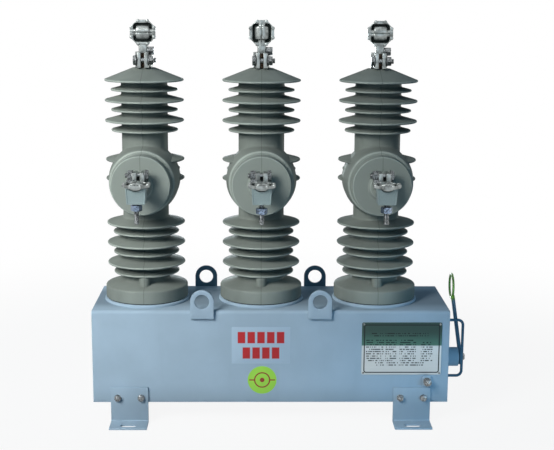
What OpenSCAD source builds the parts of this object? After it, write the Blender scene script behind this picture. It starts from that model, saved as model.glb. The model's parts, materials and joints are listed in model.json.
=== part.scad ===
// Three-pole outdoor automatic circuit recloser: a sheet-steel mechanism tank on four
// bracket feet, three ribbed epoxy poles with a top and a front line terminal each,
// and a hook-stick trip lever inside a rod guard on the right-hand side.
// Millimetres. The origin is the centre of the four foot slots at ground level,
// +Z is up, and the line terminals on the pole bosses point along -Y.

/* [Tank] */
// Width of the tank, left to right
tank_w = 914; // [880:1:1000]
// Depth of the tank, front to back
tank_d = 267; // [250:1:290]
// Height of the tank with its bottom cover
tank_h = 243; // [230:1:280]
// Height of the tank's underside above the ground
tank_lift = 54; // [46:1:60]
// Thickness of the folded tank sheet
sheet_t = 3; // [2:0.5:5]
// Outer radius of the folds along the top edges
fold_r = 8; // [6:0.5:14]
// Thickness of the bottom cover
cover_t = 3; // [2:0.5:6]
// Radius of the raised seats under the poles
seat_r = 111; // [109:0.5:114]
// Height of the raised seats
seat_h = 7; // [4:0.5:12]

/* [Feet] */
// Distance from the tank's end to the middle of a foot
foot_inset = 93.5; // [80:0.5:110]
// Width of a foot bracket
foot_w = 96; // [84:1:110]
// Thickness of the bracket plate
foot_t = 5; // [4:0.5:7]
// Height of a bracket's upright
foot_h = 94; // [86:1:110]
// Reach of a bracket's ground flange, from the outside of its upright
foot_reach = 54; // [46:1:70]
// Distance from the outside of the upright to the slot's centre line
slot_out = 35; // [28:0.5:38]
// Length of a foot slot, end to end
slot_l = 42; // [30:1:60]
// Width of a foot slot
slot_w = 18; // [14:1:22]

/* [Lifting lugs] */
// Width of a lug, and diameter of its round top
lug_w = 60; // [52:1:70]
// Thickness of a lug
lug_t = 8; // [5:0.5:12]
// Height of the lug holes above the tank's top
lug_rise = 25; // [22:1:36]
// How far a lug runs down the tank wall
lug_lap = 20; // [14:1:40]
// Diameter of a lug hole
lug_hole_d = 37; // [25:1:42]

/* [Poles] */
// Distance between neighbouring poles
pole_pitch = 300; // [270:1:320]
// Offset of the middle pole from the tank's centre
pole_shift = -26; // [-40:1:0]
// Thickness of the gasket under a pole
gasket_t = 2; // [1:0.5:4]
// Radius of the gasket's outside
gasket_r = 104; // [98:0.5:106]
// Radius of a pole's base flange
flange_r = 106.8; // [100:0.2:108]
// Height of the base flange's rim
flange_h = 33; // [24:1:44]
// Radius of the round on the flange's upper rim
flange_round = 9; // [4:0.5:14]
// Rise of the flange's sloped top, from the rim to the core
flange_slope = 14; // [6:1:24]
// Radius of a pole's core
core_r = 59; // [54:0.5:64]
// Height of a pole's top above its gasket
pole_h = 596; // [586:1:640]
// Radius of the flat on a pole's top
cap_r = 29; // [27:0.5:36]
// Radius of a large shed
shed_big_r = 100.7; // [92:0.1:104]
// Radius of a small shed
shed_small_r = 85; // [76:0.5:90]
// Radius of a shed's rounded tip
shed_tip_r = 2.25; // [1.5:0.25:4]
// Slope of a shed's upper side
shed_slope = 16; // [12:1:24]
// Slope of a shed's underside
shed_under = 4; // [0:1:8]
// Drop from a large shed's tip to the small one below it
small_drop = 24.4; // [20:0.2:27]
// Drop from the pole's top to the tip of the first shed
upper_drop = 31; // [28:1:36]
// Spacing of the large sheds in the upper group
upper_pitch = 51.5; // [46:0.5:54]
// Height of the middle group's first shed above the boss centre line
mid_rise = 48; // [44:1:54]
// Radius of the middle group's small shed
mid_small_r = 89; // [84:0.5:92]
// Spacing of the large sheds in the middle group
mid_pitch = 49; // [46:0.5:54]
// Drop from the boss centre line to the lower group's first shed
lower_drop = 117; // [110:1:122]
// Spacing of the large sheds in the lower group
lower_pitch = 53; // [48:0.5:54]

/* [Pole boss] */
// Height of the boss centre line above the gasket
boss_rise = 314; // [308:1:330]
// Radius of the boss where it meets the core
boss_root_r = 88; // [80:0.5:94]
// Radius of the boss at its shoulder
boss_lip_r = 82; // [78:0.5:88]
// Reach of the boss's shoulder from the pole's axis
boss_lip_reach = 108; // [96:1:120]
// Radius of the round on the shoulder
boss_lip_round = 4; // [2:0.5:8]
// Radius of the boss's front disc
boss_disc_r = 74; // [68:0.5:77]
// Reach of the front disc from the pole's axis
boss_disc_reach = 150; // [136:1:170]
// Width of the bevel on the front disc
boss_disc_bevel = 2.5; // [1:0.25:5]
// Radius of the terminal hub at its foot
hub_r = 36; // [32:0.5:44]
// Radius of the terminal hub's flat face
hub_face_r = 30; // [26:0.5:34]
// Height of the terminal hub
hub_h = 8; // [4:0.5:14]

/* [Line terminals] */
// Radius of a terminal stud
stud_r = 13; // [9:0.5:14]
// Depth of the stud's end below the end of the clamp's sleeve
stud_recess = 3; // [1:0.5:8]
// Radial clearance of the clamp on the stud
stud_gap = 0.05; // [0.02:0.01:0.1]
// Outer radius of the clamp's sleeve
sleeve_r = 22; // [20:0.5:26]
// Length of the clamp's sleeve
sleeve_l = 39; // [34:1:42]
// Gap under the clamp's sleeve
sleeve_lift = 1; // [0.5:0.1:2]
// Thickness of one clamp ear
ear_t = 11; // [8:0.5:13]
// Width of the slot between the ears
ear_gap = 8; // [4:0.5:10]
// Reach of the ears from the stud's axis
ear_reach = 40; // [34:1:48]
// Width of the arm between the clamp and the jaw
arm_w = 22; // [18:1:27]
// Height of the arm's underside above the stud's axis
arm_rise = 7; // [5:0.5:9]
// Thickness of the arm
arm_t = 14; // [10:0.5:16]
// Length of the arm
arm_l = 17; // [10:1:30]
// Width of the eight-sided jaw across its flats
jaw_w = 64; // [60:1:74]
// Thickness of the jaw
jaw_t = 8; // [7:0.5:12]
// Height of the jaw's underside above the stud's axis
jaw_rise = 13.5; // [12:0.5:16]
// Depth of the pockets in the jaw's face
pocket_depth = 5.5; // [3:0.5:6]
// Width of the slit along the middle of the jaw
slit_w = 4; // [2:0.5:6]
// Depth of the slit
slit_depth = 4; // [2:0.5:6]
// Width of the keeper block
keeper_w = 48; // [44:1:52]
// Length of the keeper block, along the conductor
keeper_l = 38; // [28:1:46]
// Height of the keeper block
keeper_h = 39.5; // [34:0.5:44]
// Gap between the keeper and the jaw
keeper_gap = 0.3; // [0.2:0.1:0.8]
// Radius of the conductor groove in the keeper
groove_r = 19; // [16:0.5:22]
// Depth of the conductor groove
groove_depth = 8.5; // [6:0.5:12]
// Radius of the clamping screw
screw_r = 6.5; // [5:0.5:8]
// Length of the clamping screw below the keeper
screw_out = 47; // [34:1:60]
// Depth of the screw's hole in the keeper
screw_in = 12; // [8:1:15]
// Radial clearance of the screw in the keeper
screw_gap = 0.1; // [0.05:0.05:0.3]
// Width of the screw's nut across its flats
nut_w = 24; // [20:1:27]
// Height of the nut
nut_h = 15; // [10:1:18]
// Drop of the nut below the keeper on the left pole
nut_drop_left = 3; // [0:0.5:14]
// Drop of the nut below the keeper on the middle pole
nut_drop_center = 10; // [0:0.5:14]
// Drop of the nut below the keeper on the right pole
nut_drop_right = 7; // [0:0.5:14]

/* [Trip lever] */
// Distance of the lever's pivot in front of the tank's middle
pivot_front = 40; // [20:1:60]
// Height of the lever's pivot above the tank's underside
pivot_rise = 93; // [90:1:110]
// Radius of the pivot boss on the tank's side
pivot_boss_r = 25; // [20:0.5:32]
// Length of the pivot boss
pivot_boss_l = 39; // [30:1:50]
// Radius of the lever's shaft
shaft_r = 10; // [8:0.5:14]
// Radial clearance of the shaft in its boss
shaft_gap = 0.05; // [0.02:0.01:0.1]
// Depth of the shaft's bore in the boss
shaft_in = 32; // [20:1:36]
// Gap between the boss and the lever
lever_gap = 3; // [2:0.5:6]
// Thickness of the lever
lever_t = 8; // [5:0.5:10]
// Width of the lever's bar
lever_w = 16; // [12:0.5:18]
// Radius of the lever's hub
lever_hub_r = 21; // [16:0.5:26]
// Distance from the pivot to the middle of the lever's ring
lever_l = 228; // [210:1:235]
// Angle of the lever above the horizontal at rest
lever_angle = 41; // [34:1:44]
// Mean radius of the lever's ring
ring_r = 33; // [24:0.5:36]
// Radius of the ring's rod
ring_rod_r = 2.75; // [2.25:0.25:4]
// Radius of the pivot bolt's head
bolt_head_r = 9; // [7:0.5:12]
// Height of the pivot bolt's head
bolt_head_h = 7; // [5:0.5:10]
// Distance of the guard behind the pivot
guard_back = 64; // [56:1:68]
// Reach of the guard's bar outside the lever
guard_out = 16; // [14:1:24]
// Height of the guard's top bar above the pivot
guard_up = 82; // [80:1:96]
// Drop of the guard's bottom bar below the pivot
guard_down = 74; // [70:1:82]
// Radius of the guard's rod
guard_rod_r = 3.8; // [3:0.2:5]
// Bend radius of the guard, at the rod's middle
guard_bend = 14; // [10:1:20]

/* [Plate and earth terminal] */
// Width of the rating plate
plate_w = 205; // [180:1:215]
// Height of the rating plate
plate_h = 139; // [120:1:142]
// Thickness of the rating plate
plate_t = 2; // [1:0.5:3]
// Distance from the rating plate to the tank's right-hand edge
plate_inset = 20; // [12:1:30]
// Height of the rating plate's lower edge above the tank's underside
plate_rise = 74; // [68:1:80]
// Width of the earth terminal's pad
earth_w = 24; // [18:1:30]
// Height of the earth terminal's pad
earth_h = 28; // [20:1:30]
// Thickness of the earth terminal's pad
earth_t = 4; // [3:0.5:8]
// Distance from the earth terminal to the tank's right-hand edge
earth_inset = 55; // [45:1:80]
// Gap between the earth terminal's pad and the rating plate
earth_gap = 3; // [1:0.5:6]
// Radius of the earth stud
earth_stud_r = 5; // [4:0.5:6]
// Length of the earth stud in front of its pad
earth_stud_l = 24; // [18:1:34]

/* [Hidden] */
$fn = 48;
tank_top = tank_lift + tank_h;
seat_top = tank_top + seat_h;
pole_z = seat_top + gasket_t;
cap_z = pole_z + pole_h;
boss_z = pole_z + boss_rise;
foot_span = tank_w - 2 * foot_inset;
lug_hole_z = tank_top + lug_rise;
lug_low_z = tank_top - lug_lap;

// Profile helpers of the poles
embed = 1;
boss_dome = 10;
boss_taper = 40;
shed_pairs = [0, 1, 2];

// The terminals' own frame: x across, y towards the ears and the jaw, z along the stud
sleeve_end = sleeve_lift + sleeve_l;
stud_l = sleeve_end - stud_recess;
jaw_near = sleeve_end + arm_l;
jaw_mid = jaw_near + jaw_w / 2;
keeper_top = jaw_rise - keeper_gap;
keeper_low = keeper_top - keeper_h;
pocket_w = 0.66 * jaw_w;
pocket_in = 0.11 * jaw_w;
pocket_out = 0.38 * jaw_w;
pocket_wall = 0.1 * jaw_w;
nut_drops = [nut_drop_left, nut_drop_center, nut_drop_right];

// The trip lever
tank_side = tank_w / 2;
pivot_y = -pivot_front;
pivot_z = tank_lift + pivot_rise;
lever_x = tank_side + pivot_boss_l + lever_gap + lever_t / 2;
guard_x = lever_x + guard_out;
guard_y = pivot_y + guard_back;

SIDES = [[-1, "left"], [1, "right"]];
POLES = ["left", "center", "right"];

function pole_x(i) = pole_shift + (i - 1) * pole_pitch;
function lug_x(side) = pole_shift + side * pole_pitch / 2;

module paint_steel() { color([0.47, 0.58, 0.68]) children(); }
module epoxy() { color([0.40, 0.44, 0.41]) children(); }
module bright_metal() { color([0.72, 0.74, 0.73]) children(); }
module black_rubber() { color([0.06, 0.06, 0.07]) children(); }
module green_coat() { color([0.33, 0.55, 0.24]) children(); }

// Cross-section of the tank with round upper corners, inset by a wall
module tank_section(inset) {
    half = tank_d / 2 - inset;
    r = fold_r - inset;
    high = tank_h - inset;
    translate([-half, cover_t])
        square([2 * half, high - cover_t - r]);
    translate([-half + r, cover_t])
        square([2 * (half - r), high - cover_t]);
    for (side = [-1, 1])
        translate([side * (half - r), high - r])
            circle(r);
}

module tank_prism(inset) {
    translate([-tank_w / 2 + inset, 0, tank_lift])
        rotate([90, 0, 90])
            linear_extrude(tank_w - 2 * inset)
                tank_section(inset);
}

module tank_body() {
    paint_steel() {
        difference() {
            tank_prism(0);
            tank_prism(sheet_t);
        }
        for (i = [0:2])
            translate([pole_x(i), 0, tank_top - sheet_t])
                cylinder(r = seat_r, h = sheet_t + seat_h);
    }
}

module bottom_cover() {
    paint_steel()
        translate([-tank_w / 2, -tank_d / 2, tank_lift])
            cube([tank_w, tank_d, cover_t]);
}

// L-shaped bracket on a tank wall, with a slot in its ground flange
module foot(side, face) {
    paint_steel()
        translate([side * foot_span / 2, face * tank_d / 2, 0])
            mirror([0, face < 0 ? 0 : 1, 0])
                difference() {
                    union() {
                        translate([-foot_w / 2, -foot_t, 0])
                            cube([foot_w, foot_t, foot_h]);
                        translate([-foot_w / 2, -foot_t - foot_reach, 0])
                            cube([foot_w, foot_t + foot_reach, foot_t]);
                    }
                    translate([0, -foot_t - slot_out, -embed])
                        linear_extrude(foot_t + 2 * embed) {
                            square([slot_l - slot_w, slot_w], center = true);
                            for (end = [-1, 1])
                                translate([end * (slot_l - slot_w) / 2, 0])
                                    circle(d = slot_w);
                        }
                }
}

// Round-topped plate on a tank wall, with a hole for a shackle
module lug(side, face) {
    paint_steel()
        translate([lug_x(side), face * (tank_d / 2 + (face < 0 ? 0 : lug_t)), 0])
            rotate([90, 0, 0])
                linear_extrude(lug_t)
                    difference() {
                        union() {
                            translate([0, lug_hole_z])
                                circle(d = lug_w);
                            translate([-lug_w / 2, lug_low_z])
                                square([lug_w, lug_hole_z - lug_low_z]);
                        }
                        translate([0, lug_hole_z])
                            circle(d = lug_hole_d);
                    }
}

// Half-section of one shed, as radius and height from its tip
module shed_section(r) {
    run = r - shed_tip_r - core_r;
    polygon([
        [core_r - embed, shed_tip_r + run * tan(shed_slope)],
        [core_r, shed_tip_r + run * tan(shed_slope)],
        [r - shed_tip_r, shed_tip_r],
        [r - shed_tip_r, -shed_tip_r],
        [core_r, -shed_tip_r + run * tan(shed_under)],
        [core_r - embed, -shed_tip_r + run * tan(shed_under)]
    ]);
    translate([r - shed_tip_r, 0])
        circle(shed_tip_r);
}

module shed_pair(tip_z, small_r) {
    translate([0, tip_z])
        shed_section(shed_big_r);
    translate([0, tip_z - small_drop])
        shed_section(small_r);
}

// Half-section of the base flange: a rim with a round, and a sloped top
module flange_section() {
    inner = flange_r - flange_round;
    square([flange_r, flange_h - flange_round]);
    square([inner, flange_h]);
    translate([inner, flange_h - flange_round])
        circle(flange_round);
    polygon([
        [0, flange_h - embed],
        [inner, flange_h - embed],
        [inner, flange_h],
        [core_r, flange_h + flange_slope],
        [0, flange_h + flange_slope]
    ]);
}

// Half-section of the upright: flange, core, sheds and sloped cap
module pole_section() {
    first_tip = pole_h - upper_drop;
    flange_section();
    square([core_r, first_tip]);
    polygon([
        [0, first_tip],
        [shed_big_r - shed_tip_r, first_tip],
        [shed_big_r - shed_tip_r, first_tip + shed_tip_r],
        [cap_r, pole_h],
        [0, pole_h]
    ]);
    for (k = shed_pairs) {
        shed_pair(first_tip - k * upper_pitch, shed_small_r);
        shed_pair(boss_rise - lower_drop - k * lower_pitch, shed_small_r);
    }
    shed_pair(boss_rise + mid_rise, mid_small_r);
    translate([0, boss_rise + mid_rise - mid_pitch])
        shed_section(shed_big_r);
}

// Half-section of the boss, as radius and reach from the pole's axis
module boss_section() {
    inner = boss_lip_r - boss_lip_round;
    polygon([
        [0, -core_r + embed],
        [core_r, -core_r * 0.8],
        [boss_root_r - boss_dome, -core_r * 0.5],
        [boss_root_r, -boss_dome],
        [boss_root_r, boss_taper],
        [boss_lip_r, boss_lip_reach - boss_lip_round],
        [inner, boss_lip_reach - boss_lip_round],
        [inner, boss_lip_reach],
        [boss_disc_r, boss_lip_reach],
        [boss_disc_r, boss_disc_reach - boss_disc_bevel],
        [boss_disc_r - boss_disc_bevel, boss_disc_reach],
        [hub_r, boss_disc_reach],
        [hub_face_r, boss_disc_reach + hub_h],
        [0, boss_disc_reach + hub_h]
    ]);
    translate([inner, boss_lip_reach - boss_lip_round])
        circle(boss_lip_round);
}

module pole(i) {
    epoxy()
        translate([pole_x(i), 0, pole_z]) {
            rotate_extrude()
                pole_section();
            translate([0, 0, boss_rise])
                rotate([90, 0, 0])
                    rotate_extrude()
                        boss_section();
        }
}

module pole_gaskets() {
    black_rubber()
        for (i = [0:2])
            translate([pole_x(i), 0, seat_top])
                cylinder(r = gasket_r, h = gasket_t);
}

// Puts a terminal's own frame on the top of a pole, with its ears to the front
module on_top(i) {
    translate([pole_x(i), 0, cap_z])
        rotate([0, 0, 180])
            children();
}

// Puts a terminal's own frame on the hub of a pole's boss, with its ears upwards
module on_front(i) {
    translate([pole_x(i), -boss_disc_reach - hub_h, boss_z])
        rotate([90, 0, 0])
            children();
}

// The jaw and keeper of the outer top terminals lie across, the others along the stud
module turned(across) {
    translate([0, 0, jaw_mid])
        rotate([0, across ? 90 : 0, 0])
            children();
}

module stud() {
    cylinder(r = stud_r, h = stud_l);
}

module top_studs() {
    bright_metal()
        for (i = [0:2])
            on_top(i) stud();
}

module front_studs() {
    bright_metal()
        for (i = [0:2])
            on_front(i) stud();
}

// Split sleeve with two ears, and the arm that carries the jaw
module stud_clamp() {
    ears_w = 2 * ear_t + ear_gap;
    translate([0, 0, sleeve_lift])
        linear_extrude(sleeve_l)
            difference() {
                union() {
                    circle(sleeve_r);
                    translate([-ears_w / 2, 0])
                        square([ears_w, ear_reach]);
                }
                circle(stud_r + stud_gap);
                translate([-ear_gap / 2, 0])
                    square([ear_gap, ear_reach + embed]);
            }
    translate([-arm_w / 2, arm_rise, sleeve_end])
        cube([arm_w, arm_t, arm_l]);
}

// One U-shaped pocket of the jaw, beside the slit
module pocket_shape() {
    difference() {
        translate([pocket_in, -pocket_w / 2])
            square([pocket_out - pocket_in, pocket_w]);
        translate([pocket_in - embed, -pocket_w / 2 + pocket_wall])
            square([pocket_out - pocket_in - pocket_wall + embed, pocket_w - 2 * pocket_wall]);
    }
}

// Eight-sided jaw over the conductor, which runs along z
module jaw() {
    translate([0, jaw_rise, 0])
        difference() {
            rotate([-90, 0, 0])
                rotate([0, 0, 22.5])
                    cylinder(d = jaw_w / cos(22.5), h = jaw_t, $fn = 8);
            translate([0, jaw_t, 0])
                rotate([90, 0, 0])
                    linear_extrude(pocket_depth)
                        for (side = [-1, 1])
                            mirror([side < 0 ? 1 : 0, 0])
                                pocket_shape();
            translate([-slit_w / 2, jaw_t - slit_depth, -jaw_w])
                cube([slit_w, slit_depth + embed, 2 * jaw_w]);
        }
}

// Block that presses the conductor against the jaw
module keeper() {
    difference() {
        translate([-keeper_w / 2, keeper_low, -keeper_l / 2])
            cube([keeper_w, keeper_h, keeper_l]);
        translate([0, keeper_top - groove_depth + groove_r, -keeper_l])
            cylinder(r = groove_r, h = 2 * keeper_l);
        translate([0, keeper_low - embed, 0])
            rotate([-90, 0, 0])
                cylinder(r = screw_r + screw_gap, h = screw_in + embed);
    }
}

// Clamping screw with its nut
module screw(nut_drop) {
    translate([0, keeper_low - screw_out, 0])
        rotate([-90, 0, 0])
            cylinder(r = screw_r, h = screw_out + screw_in);
    translate([0, keeper_low - nut_drop, 0])
        rotate([90, 0, 0])
            cylinder(d = nut_w / cos(30), h = nut_h, $fn = 6);
}

module top_clamp(i) { bright_metal() on_top(i) stud_clamp(); }
module top_jaw(i) { bright_metal() on_top(i) turned(i != 1) jaw(); }
module top_keeper(i) { bright_metal() on_top(i) turned(i != 1) keeper(); }
module front_clamp(i) { bright_metal() on_front(i) stud_clamp(); }
module front_jaw(i) { bright_metal() on_front(i) turned(false) jaw(); }
module front_keeper(i) { bright_metal() on_front(i) turned(false) keeper(); }

module top_screws() {
    bright_metal()
        for (i = [0:2])
            on_top(i) turned(i != 1) screw(nut_drops[i]);
}

module front_screws() {
    bright_metal()
        for (i = [0:2])
            on_front(i) turned(false) screw(nut_drops[i]);
}

// Puts the lever's own frame at its pivot: x along the shaft, y along the lever
module at_pivot() {
    translate([lever_x, pivot_y, pivot_z])
        rotate([lever_angle, 0, 0])
            children();
}

module pivot_boss() {
    paint_steel()
        translate([tank_side, pivot_y, pivot_z])
            rotate([0, 90, 0])
                difference() {
                    cylinder(r = pivot_boss_r, h = pivot_boss_l);
                    translate([0, 0, pivot_boss_l - shaft_in])
                        cylinder(r = shaft_r + shaft_gap, h = shaft_in + embed);
                }
}

// Rod bent into a U, standing out of the tank's side around the lever
module lever_guard() {
    reach = guard_x - guard_bend - tank_side;
    upright = guard_up + guard_down - 2 * guard_bend;
    paint_steel()
        translate([tank_side, guard_y, pivot_z]) {
            for (level = [guard_up, -guard_down])
                translate([0, 0, level])
                    rotate([0, 90, 0])
                        cylinder(r = guard_rod_r, h = reach);
            translate([guard_x - tank_side, 0, guard_bend - guard_down])
                cylinder(r = guard_rod_r, h = upright);
            translate([reach, 0, guard_up - guard_bend])
                guard_corner(0);
            translate([reach, 0, guard_bend - guard_down])
                guard_corner(-90);
        }
}

module guard_corner(turn) {
    rotate([90, 0, 0])
        rotate([0, 0, turn])
            rotate_extrude(angle = 90)
                translate([guard_bend, 0])
                    circle(guard_rod_r);
}

module lever_shaft() {
    bright_metal()
        translate([lever_x - lever_t / 2, pivot_y, pivot_z])
            rotate([0, -90, 0])
                cylinder(r = shaft_r, h = lever_gap + shaft_in - embed);
}

// Flat bar with a round hub on the shaft; its far end meets the ring
module trip_lever() {
    paint_steel()
        at_pivot()
            translate([-lever_t / 2, 0, 0])
                rotate([90, 0, 90])
                    linear_extrude(lever_t)
                        difference() {
                            union() {
                                circle(lever_hub_r);
                                translate([0, -lever_w / 2])
                                    square([lever_l - ring_r, lever_w]);
                            }
                            translate([lever_l, 0])
                                circle(ring_r + ring_rod_r);
                        }
}

module lever_ring() {
    green_coat()
        at_pivot()
            translate([0, lever_l, 0])
                rotate([0, 90, 0])
                    rotate_extrude()
                        translate([ring_r, 0])
                            circle(ring_rod_r);
}

module lever_bolt() {
    bright_metal()
        translate([lever_x + lever_t / 2, pivot_y, pivot_z])
            rotate([0, 90, 0])
                cylinder(r = bolt_head_r, h = bolt_head_h, $fn = 6);
}

module rating_plate() {
    color([0.66, 0.70, 0.70])
        translate([tank_side - plate_inset - plate_w, -tank_d / 2 - plate_t, tank_lift + plate_rise])
            cube([plate_w, plate_t, plate_h]);
}

// Pad on the tank with a stud and a nut for the earth lead
module earth_terminal() {
    bright_metal()
        translate([
            tank_side - earth_inset,
            -tank_d / 2,
            tank_lift + plate_rise - earth_gap - earth_h / 2
        ]) {
            translate([-earth_w / 2, -earth_t, -earth_h / 2])
                cube([earth_w, earth_t, earth_h]);
            rotate([90, 0, 0])
                cylinder(r = earth_stud_r, h = earth_t + earth_stud_l);
            translate([0, -earth_t, 0])
                rotate([90, 0, 0])
                    cylinder(r = 2 * earth_stud_r, h = 1.6 * earth_stud_r, $fn = 6);
        }
}

tank_body();
bottom_cover();
for (s = SIDES) {
    foot(s[0], -1);
    foot(s[0], 1);
    lug(s[0], -1);
    lug(s[0], 1);
}
for (i = [0:2]) {
    pole(i);
    top_clamp(i);
    top_jaw(i);
    top_keeper(i);
    front_clamp(i);
    front_jaw(i);
    front_keeper(i);
}
pole_gaskets();
top_studs();
front_studs();
top_screws();
front_screws();
pivot_boss();
lever_guard();
lever_shaft();
trip_lever();
lever_ring();
lever_bolt();
rating_plate();
earth_terminal();
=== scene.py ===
import json
import math
from functools import cache

import bmesh
import bpy
import numpy as np
from bpy.props import FloatProperty, FloatVectorProperty, PointerProperty
from bpy.types import Operator, Panel, PropertyGroup
from mathutils import Matrix, Vector


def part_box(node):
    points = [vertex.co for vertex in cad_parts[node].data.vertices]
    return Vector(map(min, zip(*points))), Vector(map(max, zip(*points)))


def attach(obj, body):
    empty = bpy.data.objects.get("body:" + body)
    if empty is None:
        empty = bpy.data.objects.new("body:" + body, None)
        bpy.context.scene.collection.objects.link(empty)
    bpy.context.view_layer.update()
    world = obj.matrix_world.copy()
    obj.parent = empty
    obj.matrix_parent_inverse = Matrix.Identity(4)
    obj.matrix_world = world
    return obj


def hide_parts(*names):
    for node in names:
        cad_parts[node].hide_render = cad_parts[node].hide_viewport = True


bl_info = {
    "name": "Circuit recloser",
    "version": (1, 0, 0),
    "blender": (4, 5, 0),
    "location": "View3D > Sidebar > Recloser",
    "description": "Dresses the frame of a three-pole outdoor circuit recloser",
    "category": "Object",
}

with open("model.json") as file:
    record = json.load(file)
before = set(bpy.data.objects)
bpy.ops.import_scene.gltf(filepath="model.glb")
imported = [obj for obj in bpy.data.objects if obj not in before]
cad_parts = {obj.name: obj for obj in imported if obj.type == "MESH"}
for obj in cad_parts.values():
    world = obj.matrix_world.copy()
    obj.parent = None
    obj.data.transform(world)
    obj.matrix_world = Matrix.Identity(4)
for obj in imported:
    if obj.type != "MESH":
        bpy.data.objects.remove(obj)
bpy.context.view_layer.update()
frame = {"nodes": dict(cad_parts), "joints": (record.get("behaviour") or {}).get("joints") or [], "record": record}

FIXED = "recloser"
SWINGING = "lever"
POLES = ("left", "center", "right")
CORNERS = (("front_left", -1), ("front_right", -1), ("rear_left", 1), ("rear_right", 1))
MM = 0.001
FULL_TURN = 2 * math.pi
WHITE = (1.0, 1.0, 1.0, 1.0)
X, Y, Z = np.eye(3)


# Places read from the frame

def low(node):
    """Lowest corner of a node."""
    return np.array(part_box(node)[0])


def high(node):
    """Highest corner of a node."""
    return np.array(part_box(node)[1])


def ends(node):
    """Lowest and highest corner of a node."""
    return low(node), high(node)


def middle(node):
    """Centre of a node's box."""
    return (low(node) + high(node)) / 2


def mount_place(name):
    """Place of one of the record's mounts."""
    found = [m for m in frame["record"]["mounts"] if m["name"] == name]
    return np.array(found[0]["pos_m"])


def pole_axis(pole):
    """Left-to-right place of a pole's axis."""
    return middle(f"{pole}_pole")[0]


TANK_LOW = low("tank_body")
TANK_HIGH = high("tank_body")
COVER_HIGH = high("bottom_cover")
LUG_RISE = 25 * MM
TANK_ROOF = mount_place("front_left_lifting_hole")[2] - LUG_RISE
POLE_LOW = low("center_pole")
POLE_HIGH = high("center_pole")
BOSS_Z = middle("front_studs")[2]
CORE = 59 * MM
BIG_SHED, SMALL_SHED, MID_SHED, SHED_DROP = 100.7 * MM, 85 * MM, 89 * MM, 24.4 * MM
LOWER_SHED, LOWER_PITCH = BOSS_Z - 117 * MM, 53 * MM
UPPER_SHED, UPPER_PITCH = POLE_HIGH[2] - 31 * MM, 51.5 * MM
PIVOT = np.array(frame["joints"][0]["pos_m"])
RING = middle("lever_ring")


# Outlines and surfaces

def mm(values):
    """Array of lengths given in millimetres."""
    return MM * np.array(values, float)


def turns(count):
    """Equal steps of a full turn."""
    return np.linspace(0, FULL_TURN, count, endpoint=False)


def circle(angles):
    """Points of the unit circle at the angles."""
    return np.stack([np.cos(angles), np.sin(angles)], 1)


def turned(reach, turn, height, closed=False):
    """Surface about z: the points at a reach, an angle and a height, all on one grid."""
    reach, turn, height = np.broadcast_arrays(reach, turn, height)
    return Loft(np.stack([reach * np.cos(turn), reach * np.sin(turn), height], 2), closed)


def unit(rows):
    """Vectors of the same directions, each of length 1."""
    return rows / np.linalg.norm(rows, axis=1, keepdims=True)


def rounded(corners, radii, steps=7):
    """Closed outline with round corners.

    Each corner is a rational quadratic curve from one tangent point over the corner to the
    other, weighted by the sine of half the corner's inner angle, which is a circular arc.
    """
    corner = np.asarray(corners, float)
    before = unit(np.roll(corner, 1, 0) - corner)
    after = unit(np.roll(corner, -1, 0) - corner)
    inner = np.arccos(np.clip((before * after).sum(1), -1, 1))
    reach = np.broadcast_to(radii, len(corner)) / np.tan(inner / 2)
    weight = np.sin(inner / 2)[:, None, None]
    t = np.linspace(0, 1, steps)[None, :, None]
    first = (corner + before * reach[:, None])[:, None]
    last = (corner + after * reach[:, None])[:, None]
    over = 2 * weight * t * (1 - t)
    total = (1 - t) ** 2 + over + t ** 2
    curve = ((1 - t) ** 2 * first + over * corner[:, None] + t ** 2 * last) / total
    points = curve.reshape(-1, corner.shape[1])
    step = np.linalg.norm(points - np.roll(points, 1, 0), axis=1)
    return points[step > 1e-7]


def profile(corners, radii, steps=7):
    """Open profile with round corners: the closed outline's arcs between its first and last corner."""
    points = rounded(corners, radii, steps)
    first = np.linalg.norm(points - np.asarray(corners[0]), axis=1).argmin()
    return np.roll(points, -first, 0)


def rectangle(width, height, radius, centre=(0, 0), steps=7):
    """Rounded rectangle, anticlockwise."""
    x, y = width / 2, height / 2
    corners = np.array([(x, -y), (x, y), (-x, y), (-x, -y)]) + centre
    return rounded(corners, radius, steps)


def disc(radius, around=48, centre=(0, 0)):
    """Circle as points at equal steps of its angle, anticlockwise."""
    return radius * circle(turns(around)) + centre


def inset(outline, distance):
    """Outline moved inwards: each point goes along the mitre of its two edges' normals."""
    edge = unit(np.roll(outline, -1, 0) - outline)
    normal = np.stack([-edge[:, 1], edge[:, 0]], 1)
    mitre = unit(normal + np.roll(normal, 1, 0))
    share = (mitre * normal).sum(1).clip(0.5)
    return outline + distance * mitre / share[:, None]


def at_height(outline, height):
    """Outline lifted to a height, which may be one number or one per point."""
    return np.column_stack([outline, np.broadcast_to(height, len(outline))])


def rim(outline, level, bevel, inward, steps=4):
    """Rings of a rounded rim, from the face to the wall.

    At angle a the ring is inset by bevel (1 - sin a) and lies bevel (1 - cos a) off the face.
    """
    angle = np.linspace(0, math.pi / 2, steps)
    return [
        at_height(inset(outline, inward * bevel * (1 - math.sin(a))), level(bevel * (1 - math.cos(a))))
        for a in angle
    ]


def bar(outline, start, end, bevel=0.0):
    """Prism along z with rounded rims at both ends."""
    foot = rim(outline, lambda rise: start + rise, bevel, 1)
    head = rim(outline, lambda rise: end - rise, bevel, 1)
    return Loft(foot + head[::-1])


def pierced(outer, inner, start, end, bevel=0.0):
    """Prism along z with a hole, and rounded rims inside and out, closed round its section."""
    rings = rim(outer, lambda rise: start + rise, bevel, 1)
    rings += rim(outer, lambda rise: end - rise, bevel, 1)[::-1]
    rings += rim(inner, lambda rise: end - rise, bevel, -1)
    rings += rim(inner, lambda rise: start + rise, bevel, -1)[::-1]
    return Loft(rings, closed=True)


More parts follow.
